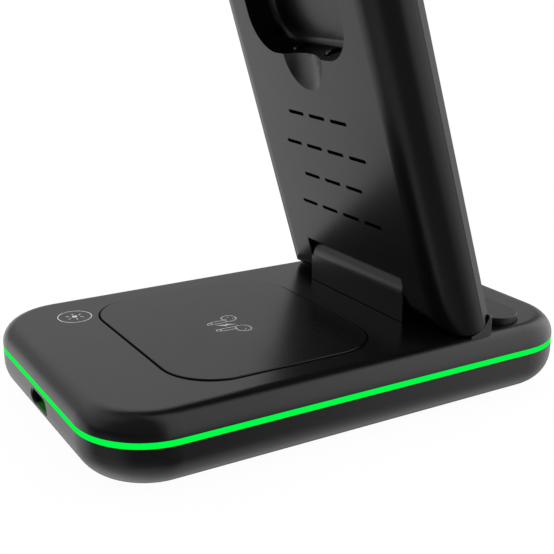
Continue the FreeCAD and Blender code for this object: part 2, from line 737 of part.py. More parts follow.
def slab_form(body, front_bevel):
    """Outer form of the upright: a tapered slab with a fully round foot."""
    outline = new_sketch(body, "XY", z="-slab_half")
    a = number("slab_half_foot")
    b = number("slab_half_top")
    low = -number("slab_half")
    high = number("slab_length")
    corners = [Vector(-a, low, 0), Vector(a, low, 0), Vector(b, high, 0), Vector(-b, high, 0)]
    for side in range(4):
        outline.addGeometry(Part.LineSegment(corners[side], corners[(side + 1) % 4]))
    for side in range(4):
        tie(outline, "Coincident", side, 2, (side + 1) % 4, 1)
    tie(outline, "Symmetric", 0, 1, 0, 2, -2)
    tie(outline, "Symmetric", 2, 1, 2, 2, -2)
    hold(outline, "foot_width", "2 * slab_half_foot", "DistanceX", 0, 1, 0, 2)
    hold(outline, "top_width", "2 * slab_half_top", "DistanceX", 2, 2, 2, 1)
    hold(outline, "below", "slab_half", "DistanceY", 0, 1, -1, 1)
    hold(outline, "above", "slab_length", "DistanceY", -1, 1, 2, 1)
    pad(body, outline, "slab_thick")
    fillet(body, "slab_corner", lambda edge: standing(edge) and edge.BoundBox.YMin > 0)
    fillet(body, "slab_rear_round", lambda edge: level("Z", low)(edge) and edge.BoundBox.YMax > 0)
    if front_bevel:
        for across, deep in (("bevel_in", "panel_thick"), ("panel_edge", "panel_edge")):
            bevel(body, across, deep, lambda edge: level("Z", -low)(edge) and edge.BoundBox.YMax > 0)
    foot = new_sketch(body, "YZ")
    r = number("slab_half")
    out = r + REACH
    ring = Part.Circle(Vector(), Vector(0, 0, 1), r)
    foot.addGeometry(Part.ArcOfCircle(ring, QUARTER, 3 * QUARTER))
    path = [Vector(0, -r, 0), Vector(0, -out, 0), Vector(-out, -out, 0), Vector(-out, out, 0), Vector(0, out, 0),
            Vector(0, r, 0)]
    for start, end in zip(path, path[1:]):
        foot.addGeometry(Part.LineSegment(start, end))
    for item in range(6):
        tie(foot, "Coincident", item, 2, (item + 1) % 6, 1)
    tie(foot, "Coincident", 0, 3, -1, 1)
    tie(foot, "PointOnObject", 0, 1, -2)
    tie(foot, "PointOnObject", 0, 2, -2)
    for item in (1, 3, 5):
        tie(foot, "Vertical", item)
    for item in (2, 4):
        tie(foot, "Horizontal", item)
    tie(foot, "Equal", 1, 5)
    hold(foot, "radius", "slab_half", "Radius", 0)
    hold(foot, "margin", str(REACH), "DistanceY", 1, 2, 1, 1)
    hold(foot, "depth", f"slab_half + {REACH}", "DistanceX", 2, 2, 2, 1)
    pocket(body, foot, FAR, both=True)


# Upright, rear shell.
shell = new_body("upright_rear_shell", "upright")
slab_form(shell, front_bevel=False)
front = new_sketch(shell, "XY", z="panel_low")
rectangle(front, FAR, "300")
pocket(shell, front, "slab_thick", flip=True)

# Watch pocket with a thumb scoop in its lower edge.
middle = "(pocket_low + pocket_high) / 2"
bay = new_sketch(shell, "XY", y=middle, z="-slab_half")
rectangle(bay, "2 * pocket_half", "pocket_high - pocket_low")
pocket(shell, bay, "pocket_depth", flip=True)
in_bay = number("pocket_half")
fillet(shell, "pocket_low_corner", lambda edge: standing(edge) and close(edge.BoundBox.YMin, number("pocket_low"))
       and close(abs(edge.BoundBox.XMin), in_bay))
fillet(shell, "pocket_high_corner", lambda edge: standing(edge) and close(edge.BoundBox.YMin, number("pocket_high"))
       and close(abs(edge.BoundBox.XMin), in_bay))
fillet(shell, "pocket_floor_round", level("Z", number("pocket_floor")))
doc.recompute()
scoop = shell.newObject("PartDesign::SubtractiveSphere", "thumb_scoop")
bind(scoop, "Radius", "scoop_ball")
bind(scoop, "Placement.Base.y", "pocket_low")
bind(scoop, "Placement.Base.z", "scoop_depth - slab_half - scoop_ball")

# Latch slots and detent pin seats in the pocket's lower wall, arm pin seats in its side walls.
for side in ("-", ""):
    latch = new_sketch(shell, "XZ", x=f"{side}latch_x", y="-latch_n", z="-pocket_low")
    rectangle(latch, "latch_width", "latch_length")
    pocket(shell, latch, "latch_depth", flip=True)
    seat = new_sketch(shell, "XZ", x=f"{side}latch_x + detent_off", y="-latch_n", z="-pocket_low")
    circle(seat, "detent_radius")
    pocket(shell, seat, "detent_set", flip=True)
seat = new_sketch(shell, "YZ", "arm_s", "-arm_n")
circle(seat, "arm_pin_radius + arm_pin_fit")
pocket(shell, seat, "2 * (arm_pin_half + arm_pin_end_gap)", both=True)

# Hinge notch between the ears, with the pin's bores and the washers' seats.
notch = new_sketch(shell, "XY", y="(notch_high - slab_half - 1) / 2", z="panel_low")
rectangle(notch, "2 * notch_half", "notch_high + slab_half + 1")
pocket(shell, notch, "slab_thick")
bore = new_sketch(shell, "YZ")
circle(bore, "pin_radius + pin_fit")
pocket(shell, bore, "2 * pin_half + 0.4", both=True)
seat = new_sketch(shell, "YZ")
circle(seat, "washer_radius + trim_gap")
pocket(shell, seat, "2 * (notch_half + washer_thick + washer_gap)", both=True)

# Inner cavity, coil bay behind the front panel, board posts and vents.
hollow = new_sketch(shell, "XY", y="(cavity_low + cavity_high) / 2", z="panel_low")
rounded(hollow, "2 * cavity_half", "cavity_high - cavity_low", "cavity_corner")
pocket(shell, hollow, "panel_low + slab_half - slab_skin")
hollow = new_sketch(shell, "XY", y="(cavity_low + coil_bay_high) / 2", z="panel_low")
rounded(hollow, "2 * coil_bay_half", "coil_bay_high - cavity_low", "cavity_corner")
pocket(shell, hollow, "panel_low - coil_bay_floor")
posts = new_sketch(shell, "XY", y="upright_board_s", z="slab_skin - slab_half - 0.5")
four_circles(posts, "upright_post_x", "upright_post_s", "upright_post_radius")
pad(shell, posts, "upright_post_rise + 0.5")
pilots = new_sketch(shell, "XY", y="upright_board_s", z="upright_board_low")
four_circles(pilots, "upright_post_x", "upright_post_s", "small_screw + screw_pilot_gap")
pocket(shell, pilots, "small_bite + 0.2")
for count, first_row in ((4, "vent_low"), (3, "vent_low + vent_row")):
    vent = new_sketch(shell, "XY", x=f"-{count - 1} * vent_pitch / 2", y=first_row, z="-slab_half")
    slot(vent, "vent_length - vent_width", "vent_width / 2")
    first = pocket(shell, vent, "slab_skin", flip=True)
    doc.recompute()
    rows = shell.newObject("PartDesign::LinearPattern", "vent_rows")
    rows.Originals = [first]
    rows.Direction = (vent, ["H_Axis"])
    rows.Occurrences = count
    bind(rows, "Length", f"{count - 1} * vent_pitch")
    rows.Direction2 = (vent, ["V_Axis"])
    rows.Occurrences2 = 2
    bind(rows, "Length2", "2 * vent_row")
    shell.Tip = rows

# Upright, front panel: the same form in front of the seam, with an inner plateau that meets the shell.
panel = new_body("upright_front_panel", "upright")
slab_form(panel, front_bevel=True)
rear = new_sketch(panel, "XY", z="panel_low + panel_seam")
rectangle(rear, FAR, "300")
pocket(panel, rear, "slab_thick")
plateau = new_sketch(panel, "XY", y="(slab_length + plateau_low - plateau_top_gap) / 2", z="panel_low")
rounded(plateau, "2 * (slab_half_top - plateau_inset)", "slab_length - plateau_low - plateau_top_gap", "slab_corner")
pad(panel, plateau, "panel_seam + 0.2")
recess = new_sketch(panel, "XY", y="(cavity_low + coil_bay_high) / 2", z="panel_low")
rounded(recess, "2 * coil_bay_half", "coil_bay_high - cavity_low", "cavity_corner")
pocket(panel, recess, "panel_thick - panel_skin", flip=True)
recess = new_sketch(panel, "XY", y="(notch_high - barrel_radius) / 2", z="panel_low")
rectangle(recess, "2 * (notch_half + washer_thick + 2 * washer_gap)", "notch_high + barrel_radius")
pocket(panel, recess, "panel_thick - panel_skin", flip=True)

# Hinge pin, washers, arm pin and the pocket's detent pins.
rod("hinge_pin", "upright", "0", "0", "pin_radius", "2 * pin_half")
washers = new_body("hinge_friction_washers", "upright")
for side in ("-", ""):
    ring = new_sketch(washers, "YZ", z=f"{side}(notch_half + washer_gap / 2 + washer_thick / 2)")
    circle(ring, "washer_radius")
    pad(washers, ring, "washer_thick", both=True)
hole = new_sketch(washers, "YZ")
circle(hole, "washer_hole")
pocket(washers, hole, FAR, both=True)
rod("arm_hinge_pin", "upright", "arm_s", "-arm_n", "arm_pin_radius", "2 * arm_pin_half")
detents = new_body("pocket_detent_pins", "upright")
for side in ("-", ""):
    pin = new_sketch(detents, "XZ", x=f"{side}latch_x + detent_off", y="-latch_n", z="-pocket_low - detent_rise")
    circle(pin, "detent_radius")
    pad(detents, pin, "detent_rise + detent_set")

# Phone coils and their ferrite sheets behind the front panel, and the upright's board.
for part, spot in (("lower", "phone_coil_low"), ("upper", "phone_coil_high")):
    disc("phone_coil_" + part, "upright", "0", spot, "coil_top - phone_coil_thick", "phone_coil_outer",
         "phone_coil_thick", "phone_coil_inner")
    disc("phone_ferrite_" + part, "upright", "0", spot, "coil_bay_floor", "phone_coil_outer + ferrite_margin",
         "ferrite_thick")
board = plate("upright_circuit_board", "upright", "0", "upright_board_s", "upright_board_low", "upright_board_width",
              "upright_board_length", "board_thick", "1.5")
holes = new_sketch(board, "XY", y="upright_board_s", z="upright_board_low")
four_circles(holes, "upright_post_x", "upright_post_s", "small_screw + 0.15")
pocket(board, holes, "board_thick", flip=True)
screws = new_body("upright_board_screws", "upright")
shanks = new_sketch(screws, "XY", y="upright_board_s", z="upright_board_low - small_bite")
four_circles(shanks, "upright_post_x", "upright_post_s", "small_screw")
pad(screws, shanks, "small_bite + board_thick + 0.2")
heads = new_sketch(screws, "XY", y="upright_board_s", z="upright_board_low + board_thick")
four_circles(heads, "upright_post_x", "upright_post_s", "small_head")
pad(screws, heads, "small_head_thick")

# Watch arm: a flat paddle that turns about its own pin, with a bay closed by a cover below.
arm = new_body("watch_arm_body", "arm")
outline = new_sketch(arm, "XY", y="(arm_reach - arm_back) / 2", z="-arm_under")
rectangle(outline, "2 * arm_half", "arm_reach + arm_back")
pad(arm, outline, "arm_top + arm_under")
fillet(arm, "arm_tip_corner", lambda edge: standing(edge) and edge.BoundBox.YMin > 0)
fillet(arm, "arm_back_corner", lambda edge: standing(edge) and close(edge.BoundBox.YMax, -number("arm_back")))
fillet(arm, "arm_top_round", level("Z", number("arm_top")))
fillet(arm, "arm_under_round", level("Z", -number("arm_under")))
bore = new_sketch(arm, "YZ")
circle(bore, "arm_pin_radius + arm_pin_run")
pocket(arm, bore, "2 * arm_half + 2", both=True)
seat = new_sketch(arm, "XY", y="puck_y", z="arm_top")
circle(seat, "puck_radius + puck_gap")
pocket(arm, seat, "puck_sink")
bay = new_sketch(arm, "XY", y="(arm_bay_low + arm_bay_high) / 2", z="-arm_under")
rounded(bay, "2 * arm_bay_half", "arm_bay_high - arm_bay_low", "arm_bay_corner")
pocket(arm, bay, "arm_under + arm_bay_top", flip=True)
ledge = new_sketch(arm, "XY", y="(arm_bay_low + arm_bay_high) / 2", z="-arm_under")
rounded(ledge, "2 * arm_bay_half + 2 * cover_ledge", "arm_bay_high - arm_bay_low + 2 * cover_ledge",
        "arm_bay_corner + cover_ledge")
pocket(arm, ledge, "cover_thick", flip=True)
plate("watch_arm_cover", "arm", "0", "(arm_bay_low + arm_bay_high) / 2", "-arm_under",
      "2 * (arm_bay_half + cover_ledge - puck_gap)", "arm_bay_high - arm_bay_low + 2 * (cover_ledge - puck_gap)",
      "cover_thick", "arm_bay_corner + cover_ledge - puck_gap")
puck = disc("watch_puck", "arm", "0", "puck_y", "arm_top - puck_sink", "puck_radius", "puck_sink + puck_rise")
fillet(puck, "puck_edge", level("Z", number("arm_top + puck_rise")))
disc("watch_coil", "arm", "0", "puck_y", "arm_bay_top - watch_coil_thick", "watch_coil_outer", "watch_coil_thick",
     "watch_coil_inner")
disc("watch_ferrite", "arm", "0", "puck_y", "arm_bay_top - watch_coil_thick - ferrite_thick",
     "watch_coil_outer + ferrite_margin", "ferrite_thick")
disc("watch_align_magnet", "arm", "0", "puck_y", "arm_bay_top - watch_coil_thick", "watch_magnet",
     "watch_coil_thick")

doc.recompute()
for item in doc.Objects:
    if "Invalid" in item.State or "Error" in item.State:
        raise RuntimeError(f"{item.Label} does not compute: {item.State}")
os.makedirs("parts", exist_ok=True)
for piece in pieces:
    shape = piece.Shape
    if shape.isNull() or not shape.isValid() or not shape.Solids:
        raise RuntimeError(f"{piece.Label} has no valid solid")
    shape.exportStep(f"parts/{piece.Label}.step")
    box = shape.BoundBox
    print(f"{piece.Label}: {len(shape.Solids)} solid(s), {shape.Volume:.1f} mm3, "
          f"x {box.XMin:.2f}..{box.XMax:.2f}, y {box.YMin:.2f}..{box.YMax:.2f}, z {box.ZMin:.2f}..{box.ZMax:.2f}")
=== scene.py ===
# %% [markdown]
# # A folding wireless charger
# The CAD part arrives as a set of named nodes in metres, +Z up, with the charging inlet towards +Y.
# This lesson gives every node a procedural finish, prints the two symbols on the base, adds a little dull
# black painted shade in gaps, and builds a white studio with a camera. The frame is loaded first, before
# anything is added.

# %% Load the part
import json
import math
import bpy
from mathutils import Matrix, Vector


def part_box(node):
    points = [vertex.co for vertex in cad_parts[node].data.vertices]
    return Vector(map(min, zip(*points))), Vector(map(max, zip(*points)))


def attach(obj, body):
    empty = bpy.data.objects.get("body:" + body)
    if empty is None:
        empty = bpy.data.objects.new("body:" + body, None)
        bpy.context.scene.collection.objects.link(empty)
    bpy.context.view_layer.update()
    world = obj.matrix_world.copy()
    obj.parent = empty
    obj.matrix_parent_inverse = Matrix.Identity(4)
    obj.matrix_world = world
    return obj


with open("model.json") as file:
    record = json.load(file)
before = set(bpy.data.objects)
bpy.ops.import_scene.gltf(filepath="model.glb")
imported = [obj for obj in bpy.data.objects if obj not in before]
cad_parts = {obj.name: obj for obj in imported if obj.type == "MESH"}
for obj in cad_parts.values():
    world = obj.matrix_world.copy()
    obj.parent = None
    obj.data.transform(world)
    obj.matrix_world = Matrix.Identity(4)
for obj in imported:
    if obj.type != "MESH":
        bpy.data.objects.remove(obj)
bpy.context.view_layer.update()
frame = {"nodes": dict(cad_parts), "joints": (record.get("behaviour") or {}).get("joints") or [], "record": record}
MM = 0.001

# %% [markdown]
# ## Helpers for node graphs
# A graph is easier to read when one line makes one node. These helpers add a node with its sockets set by
# name, do arithmetic on sockets, and start an empty material.

# %% Node helpers
def add(tree, kind, **values):
    """A shader node with some of its sockets set."""
    node = tree.nodes.new("ShaderNode" + kind)
    for name, value in values.items():
        node.inputs[name.replace("_", " ")].default_value = value
    return node


def calculate(tree, operation, first, second):
    """Arithmetic on two sockets or numbers."""
    node = add(tree, "Math")
    node.operation = operation
    for socket, value in zip(node.inputs, (first, second)):
        if isinstance(value, (int, float)):
            socket.default_value = value
        else:
            tree.links.new(value, socket)
    return node.outputs[0]


def combine(tree, operation, *values):
    """One operation over several sockets or numbers, from left to right."""
    result = values[0]
    for value in values[1:]:
        result = calculate(tree, operation, result, value)
    return result


def soft_step(tree, value, low, high, to_low=0.0, to_high=1.0):
    """A soft step of a socket's value between two limits."""
    step = add(tree, "MapRange", From_Min=low, From_Max=high, To_Min=to_low, To_Max=to_high)
    step.interpolation_type = "SMOOTHSTEP"
    tree.links.new(value, step.inputs["Value"])
    return step.outputs["Result"]


def along(tree, direction, axis):
    """How far a vector socket points along an axis."""
    dot = add(tree, "VectorMath")
    dot.operation = "DOT_PRODUCT"
    tree.links.new(direction, dot.inputs[0])
    dot.inputs[1].default_value = axis
    return dot.outputs["Value"]


def within(tree, value, low, high, border):
    """One between two limits, with a soft border outside them."""
    return calculate(tree, "MULTIPLY", soft_step(tree, value, low - border, low),
                     soft_step(tree, value, high, high + border, 1.0, 0.0))


def ramp(tree, amount, low_color, high_color):
    """A colour that goes from one to another as a socket goes from zero to one."""
    node = add(tree, "ValToRGB")
    for element, color in zip(node.color_ramp.elements, (low_color, high_color)):
        element.color = (*color, 1.0)
    tree.links.new(amount, node.inputs[0])
    return node


def new_material(name):
    """An empty material, its tree and its output node."""
    material = bpy.data.materials.new(name)
    material.use_nodes = True
    material.node_tree.nodes.clear()
    return material, material.node_tree, material.node_tree.nodes.new("ShaderNodeOutputMaterial")


def new_group(name, inputs, outputs):
    """An empty shader group with named sockets, given as name and socket type."""
    group = bpy.data.node_groups.new(name, "ShaderNodeTree")
    for label, kind in inputs:
        group.interface.new_socket(label, in_out="INPUT", socket_type="NodeSocket" + kind)
    for label, kind in outputs:
        group.interface.new_socket(label, in_out="OUTPUT", socket_type="NodeSocket" + kind)
    return group, group.nodes.new("NodeGroupInput"), group.nodes.new("NodeGroupOutput")


def use(tree, group, **values):
    """A group node with some of its inputs set."""
    node = tree.nodes.new("ShaderNodeGroup")
    node.node_tree = group
    for name, value in values.items():
        node.inputs[name.replace("_", " ")].default_value = value
    return node


print("helpers ready")

# %% [markdown]
# ## Moulded grain
# Moulded plastic is never quite smooth: the tool leaves a fine grain, and the melt leaves broad, faint
# changes of gloss. One shared group makes a height for a bump and a swing of roughness from Object
# coordinates. It gives out plain values only, so each material keeps its own shader.

# %% Grain group
GRAIN, grain_in, grain_out = new_group(
    "moulded_grain", [("Scale", "Float"), ("Roughness", "Float"), ("Swing", "Float")],
    [("Height", "Float"), ("Roughness", "Float")])
grain_place = GRAIN.nodes.new("ShaderNodeTexCoord")
fine = add(GRAIN, "TexNoise", Detail=2.0, Roughness=0.6)
broad = add(GRAIN, "TexNoise", Scale=60.0, Detail=3.0)
for noise in (fine, broad):
    GRAIN.links.new(grain_place.outputs["Object"], noise.inputs["Vector"])
GRAIN.links.new(grain_in.outputs["Scale"], fine.inputs["Scale"])
GRAIN.links.new(fine.outputs[0], grain_out.inputs["Height"])
swing = add(GRAIN, "MapRange")
GRAIN.links.new(broad.outputs[0], swing.inputs["Value"])
for operation, limit in (("SUBTRACT", "To Min"), ("ADD", "To Max")):
    edge = calculate(GRAIN, operation, grain_in.outputs["Roughness"], grain_in.outputs["Swing"])
    GRAIN.links.new(edge, swing.inputs[limit])
GRAIN.links.new(swing.outputs["Result"], grain_out.inputs["Roughness"])
print("group:", GRAIN.name)


# %% Grained finishes
RELIEF_DEPTH = 0.0001


def marked(tree, out, body, marks, bump):
    """Relief and roughness from a group of marks, on a shader that goes to the output."""
    relief = add(tree, "Bump", Strength=bump, Distance=RELIEF_DEPTH)
    tree.links.new(marks.outputs["Height"], relief.inputs["Height"])
    tree.links.new(marks.outputs["Roughness"], body.inputs["Roughness"])
    tree.links.new(relief.outputs["Normal"], body.inputs["Normal"])
    tree.links.new(body.outputs[0], out.inputs["Surface"])


def grained(name, color, roughness, swing=0.03, scale=9000.0, bump=0.02, specular=0.5):
    """A solid finish with moulded or ground grain."""
    material, tree, out = new_material(name)
    body = add(tree, "BsdfPrincipled", Base_Color=(*color, 1.0), Specular_IOR_Level=specular)
    marked(tree, out, body, use(tree, GRAIN, Scale=scale, Roughness=roughness, Swing=swing), bump)
    return material


BLACK = (0.002, 0.002, 0.0021)
FINISHES = {
    "housing_black": grained("housing black", BLACK, 0.26),
    "panel_black": grained("panel black", BLACK, 0.25),
    "pad_black": grained("pad black", BLACK, 0.27, scale=14000.0, specular=0.44),
    "puck_black": grained("puck black", (0.006, 0.006, 0.0062), 0.42, scale=12000.0, bump=0.04),
    "soft_rubber": grained("soft rubber", (0.003, 0.003, 0.003), 0.33, swing=0.05, scale=6000.0, bump=0.05),
    "led_clear": grained("led clear", (0.75, 0.8, 0.75), 0.15),
    "washer_plastic": grained("washer plastic", (0.5, 0.48, 0.42), 0.45, scale=5000.0),
    "ferrite_grey": grained("ferrite grey", (0.05, 0.05, 0.055), 0.6, swing=0.1, scale=4000.0, bump=0.2),
}
print("grained finishes:", ", ".join(FINISHES))

# %% [markdown]
# ## Turned and rolled metal
# Pins, screws and the ballast plate show fine lines where a tool or a roller has passed. Noise that is
# stretched along one axis gives such lines without any picture.

# %% Metal group
ROUGHNESS_SPREAD = 0.15
METAL, metal_in, metal_out = new_group(
    "tooled_metal", [("Stretch", "Vector"), ("Roughness", "Float")],
    [("Height", "Float"), ("Roughness", "Float")])
metal_place = METAL.nodes.new("ShaderNodeTexCoord")
metal_scale = add(METAL, "VectorMath")
metal_scale.operation = "MULTIPLY"
METAL.links.new(metal_place.outputs["Object"], metal_scale.inputs[0])
METAL.links.new(metal_in.outputs["Stretch"], metal_scale.inputs[1])
lines = add(METAL, "TexNoise", Scale=1.0, Detail=4.0, Roughness=0.7)
METAL.links.new(metal_scale.outputs[0], lines.inputs["Vector"])
METAL.links.new(lines.outputs[0], metal_out.inputs["Height"])
spread = calculate(METAL, "MULTIPLY", lines.outputs[0], ROUGHNESS_SPREAD)
METAL.links.new(calculate(METAL, "ADD", metal_in.outputs["Roughness"], spread), metal_out.inputs["Roughness"])


def tooled(name, color, roughness, stretch, bump=0.05):
    """A metal finish with lines from a tool."""
    material, tree, out = new_material(name)
    body = add(tree, "BsdfPrincipled", Base_Color=(*color, 1.0), Metallic=1.0)
    marked(tree, out, body, use(tree, METAL, Stretch=stretch, Roughness=roughness), bump)
    return material


FINISHES["bright_steel"] = tooled("bright steel", (0.72, 0.72, 0.71), 0.16, (9000.0, 600.0, 600.0))
FINISHES["screw_steel"] = tooled("screw steel", (0.3, 0.3, 0.31), 0.3, (3000.0, 3000.0, 9000.0))
FINISHES["ballast_steel"] = tooled("ballast steel", (0.5, 0.5, 0.49), 0.32, (300.0, 9000.0, 300.0))
FINISHES["sensor_metal"] = tooled("sensor metal", (0.72, 0.42, 0.24), 0.25, (500.0, 8000.0, 500.0))
FINISHES["magnet_nickel"] = tooled("magnet nickel", (0.68, 0.66, 0.61), 0.14, (1200.0, 1200.0, 1200.0))
print("metals ready")

# %% [markdown]
# ## Wound coils and circuit boards
# A charging coil is a flat spiral of enamelled wire, so its turns are rings about the coil's centre: a wave
# of the distance from that centre is all it takes. Boards wear a green mask over copper tracks, drawn here
# by the borders of a cell pattern.

# %% Coils
def wound(name, centre, pitch=0.0009):
    """Enamelled wire in rings about a centre."""
    material, tree, out = new_material(name)
    place = tree.nodes.new("ShaderNodeTexCoord")
    apart = add(tree, "VectorMath")
    apart.operation = "DISTANCE"
    tree.links.new(place.outputs["Object"], apart.inputs[0])
    apart.inputs[1].default_value = centre
    phase = calculate(tree, "MULTIPLY", apart.outputs["Value"], math.tau / pitch)
    turns = calculate(tree, "SINE", phase, 0.0)
    shade = ramp(tree, soft_step(tree, turns, -1.0, 0.6), (0.22, 0.07, 0.02), (0.72, 0.3, 0.12))
    body = add(tree, "BsdfPrincipled", Metallic=1.0, Roughness=0.3)
    relief = add(tree, "Bump", Strength=0.6, Distance=0.0003)
    tree.links.new(turns, relief.inputs["Height"])
    tree.links.new(shade.outputs[0], body.inputs["Base Color"])
    tree.links.new(relief.outputs["Normal"], body.inputs["Normal"])
    tree.links.new(body.outputs[0], out.inputs["Surface"])
    return material


def middle(node):
    """Centre of a node's box at rest."""
    corners = [Vector(corner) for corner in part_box(node)]
    return tuple((corners[0] + corners[1]) / 2)


COILS = {node: wound(node.replace("_", " "), middle(node))
         for node in ("earbud_coil", "phone_coil_lower", "phone_coil_upper", "watch_coil")}
print("coils:", {node: [round(v, 4) for v in middle(node)] for node in COILS})

# %% Boards
masked, tree, out = new_material("board green")
place = tree.nodes.new("ShaderNodeTexCoord")
cells = add(tree, "TexVoronoi", Scale=420.0, Randomness=0.35)
cells.feature = "DISTANCE_TO_EDGE"
cells.voronoi_dimensions = "3D"
tree.links.new(place.outputs["Object"], cells.inputs["Vector"])
tracks = ramp(tree, cells.outputs["Distance"], (0.03, 0.2, 0.06), (0.006, 0.07, 0.02))
tracks.color_ramp.elements[0].position = 0.03
tracks.color_ramp.elements[1].position = 0.06
mask = add(tree, "BsdfPrincipled", Roughness=0.32)
tree.links.new(tracks.outputs[0], mask.inputs["Base Color"])
tree.links.new(mask.outputs[0], out.inputs["Surface"])
FINISHES["board_green"] = masked
print("boards ready")

# %% [markdown]
# ## Light line and inlet
# The light line is a clear strip, lit green from inside. At full strength an emission shows its colour as
# written. The charging inlet is a steel shell; the green light that reaches its inner end is painted on as a faint
# glow.

# %% Light line and inlet
LIGHT_GREEN = (0.0, 1.0, 0.065)
PAINTED_GLOW_GREEN = (0.0, 0.075, 0.0023)
PAINTED_GLOW_START = 0.4 * MM
glowing, tree, out = new_material("light line")
strip_light = add(tree, "Emission", Color=(*LIGHT_GREEN, 1.0), Strength=1.0)
tree.links.new(strip_light.outputs[0], out.inputs["Surface"])
FINISHES["light_guide"] = glowing


def painted_green_glow(tree, body, amount):
    """Painted light: a faint green glow on a shader, where a mask is one."""
    glow = ramp(tree, amount, (0.0, 0.0, 0.0), PAINTED_GLOW_GREEN)
    tree.links.new(glow.outputs[0], body.inputs["Emission Color"])
    body.inputs["Emission Strength"].default_value = 1.0


inlet_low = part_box("power_socket")[0][1]
inlet_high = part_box("power_socket")[1][1]
inlet, tree, out = new_material("inlet steel")
place = tree.nodes.new("ShaderNodeTexCoord")
depth = along(tree, place.outputs["Object"], (0.0, 1.0, 0.0))
marks = use(tree, METAL, Stretch=(700.0, 9000.0, 700.0), Roughness=0.3)
steel = add(tree, "BsdfPrincipled", Base_Color=(0.03, 0.03, 0.03, 1.0), Metallic=1.0)
# Painted light: a faint green emission on the inlet's inner end stands in for the green light that reaches it.
painted_glow_inside = soft_step(tree, depth, inlet_high - PAINTED_GLOW_START, inlet_high, 1.0, 0.0)
tree.links.new(marks.outputs["Roughness"], steel.inputs["Roughness"])
painted_green_glow(tree, steel, painted_glow_inside)
tree.links.new(steel.outputs[0], out.inputs["Surface"])
print("inlet from", round(inlet_low, 4), "to", round(inlet_high, 4))

# %% [markdown]
# The green light that leaks into the wall of the inlet's opening is painted on as a faint glow. That place is a
# box in Object coordinates, so a product of soft steps picks it out of the lower housing. Each row of the box
# gives an axis, two limits about the inlet's mouth and a soft border, in millimetres.

# %% Painted glow in the inlet's opening
PAINTED_GLOW_BOX = (((1, 0, 0), -5.5, 3.0, 1.5), ((0, 0, 1), -2.0, 2.0, 0.1), ((0, 1, 0), -3.5, 0.7, 0.5))
inlet_mouth = Vector(middle("power_socket"))
inlet_mouth.y = inlet_high
lower_black = grained("lower housing black", BLACK, 0.26)
tree = lower_black.node_tree
body = next(node for node in tree.nodes if node.type == "BSDF_PRINCIPLED")
place = tree.nodes.new("ShaderNodeTexCoord")
apart = add(tree, "VectorMath")
apart.operation = "SUBTRACT"
tree.links.new(place.outputs["Object"], apart.inputs[0])
apart.inputs[1].default_value = inlet_mouth
# Painted light: a faint green emission on the lower housing inside that box.
painted_green_glow(tree, body, combine(tree, "MULTIPLY", *(
    within(tree, along(tree, apart.outputs[0], axis), low * MM, high * MM, border * MM)
    for axis, low, high, border in PAINTED_GLOW_BOX)))
print("glow about", [round(v, 4) for v in inlet_mouth])

# %% Hand the finishes out
OWN = dict(COILS, power_socket=inlet, base_lower_housing=lower_black)
for part in frame["record"]["subparts"]:
    node = part["node"]
    frame["nodes"][node].material_slots[0].material = OWN.get(node) or FINISHES[part["material_slot"]]

# %% [markdown]
# ## Printed symbols
# The base carries two prints in grey ink: a sun in a ring where a finger dims the light line, and a pair of
# earbuds with a bolt on the pad. Each line is a path, so Geometry Nodes can sweep a flattened round profile
# along it. Dots and rays repeat, so they are instances, made real at the end.

# %% Ink
ink, tree, out = new_material("print ink")
place = tree.nodes.new("ShaderNodeTexCoord")
speckle = add(tree, "TexNoise", Scale=7000.0, Detail=2.0)
tree.links.new(place.outputs["Object"], speckle.inputs["Vector"])
tone = ramp(tree, speckle.outputs[0], (0.62, 0.62, 0.62), (0.78, 0.78, 0.78))
film = add(tree, "BsdfPrincipled", Roughness=0.45)
tree.links.new(tone.outputs[0], film.inputs["Base Color"])
tree.links.new(film.outputs[0], out.inputs["Surface"])
print("ink ready")


# %% Trees for prints
def new_tree(name, sizes):
    """A geometry tree with named sizes and an ink."""
    tree = bpy.data.node_groups.new(name, "GeometryNodeTree")
    tree.interface.new_socket("Geometry", in_out="INPUT", socket_type="NodeSocketGeometry")
    for label in sizes:
        tree.interface.new_socket(label, in_out="INPUT", socket_type="NodeSocketFloat")
    tree.interface.new_socket("Ink", in_out="INPUT", socket_type="NodeSocketMaterial")
    tree.interface.new_socket("Geometry", in_out="OUTPUT", socket_type="NodeSocketGeometry")
    return tree, tree.nodes.new("NodeGroupInput"), tree.nodes.new("NodeGroupOutput")


def finish_tree(tree, source, given, result):
    """Real geometry with the ink on it."""
    real = tree.nodes.new("GeometryNodeRealizeInstances")
    inked = tree.nodes.new("GeometryNodeSetMaterial")
    tree.links.new(source, real.inputs["Geometry"])
    tree.links.new(real.outputs["Geometry"], inked.inputs["Geometry"])
    tree.links.new(given.outputs["Ink"], inked.inputs["Material"])
    tree.links.new(inked.outputs["Geometry"], result.inputs["Geometry"])


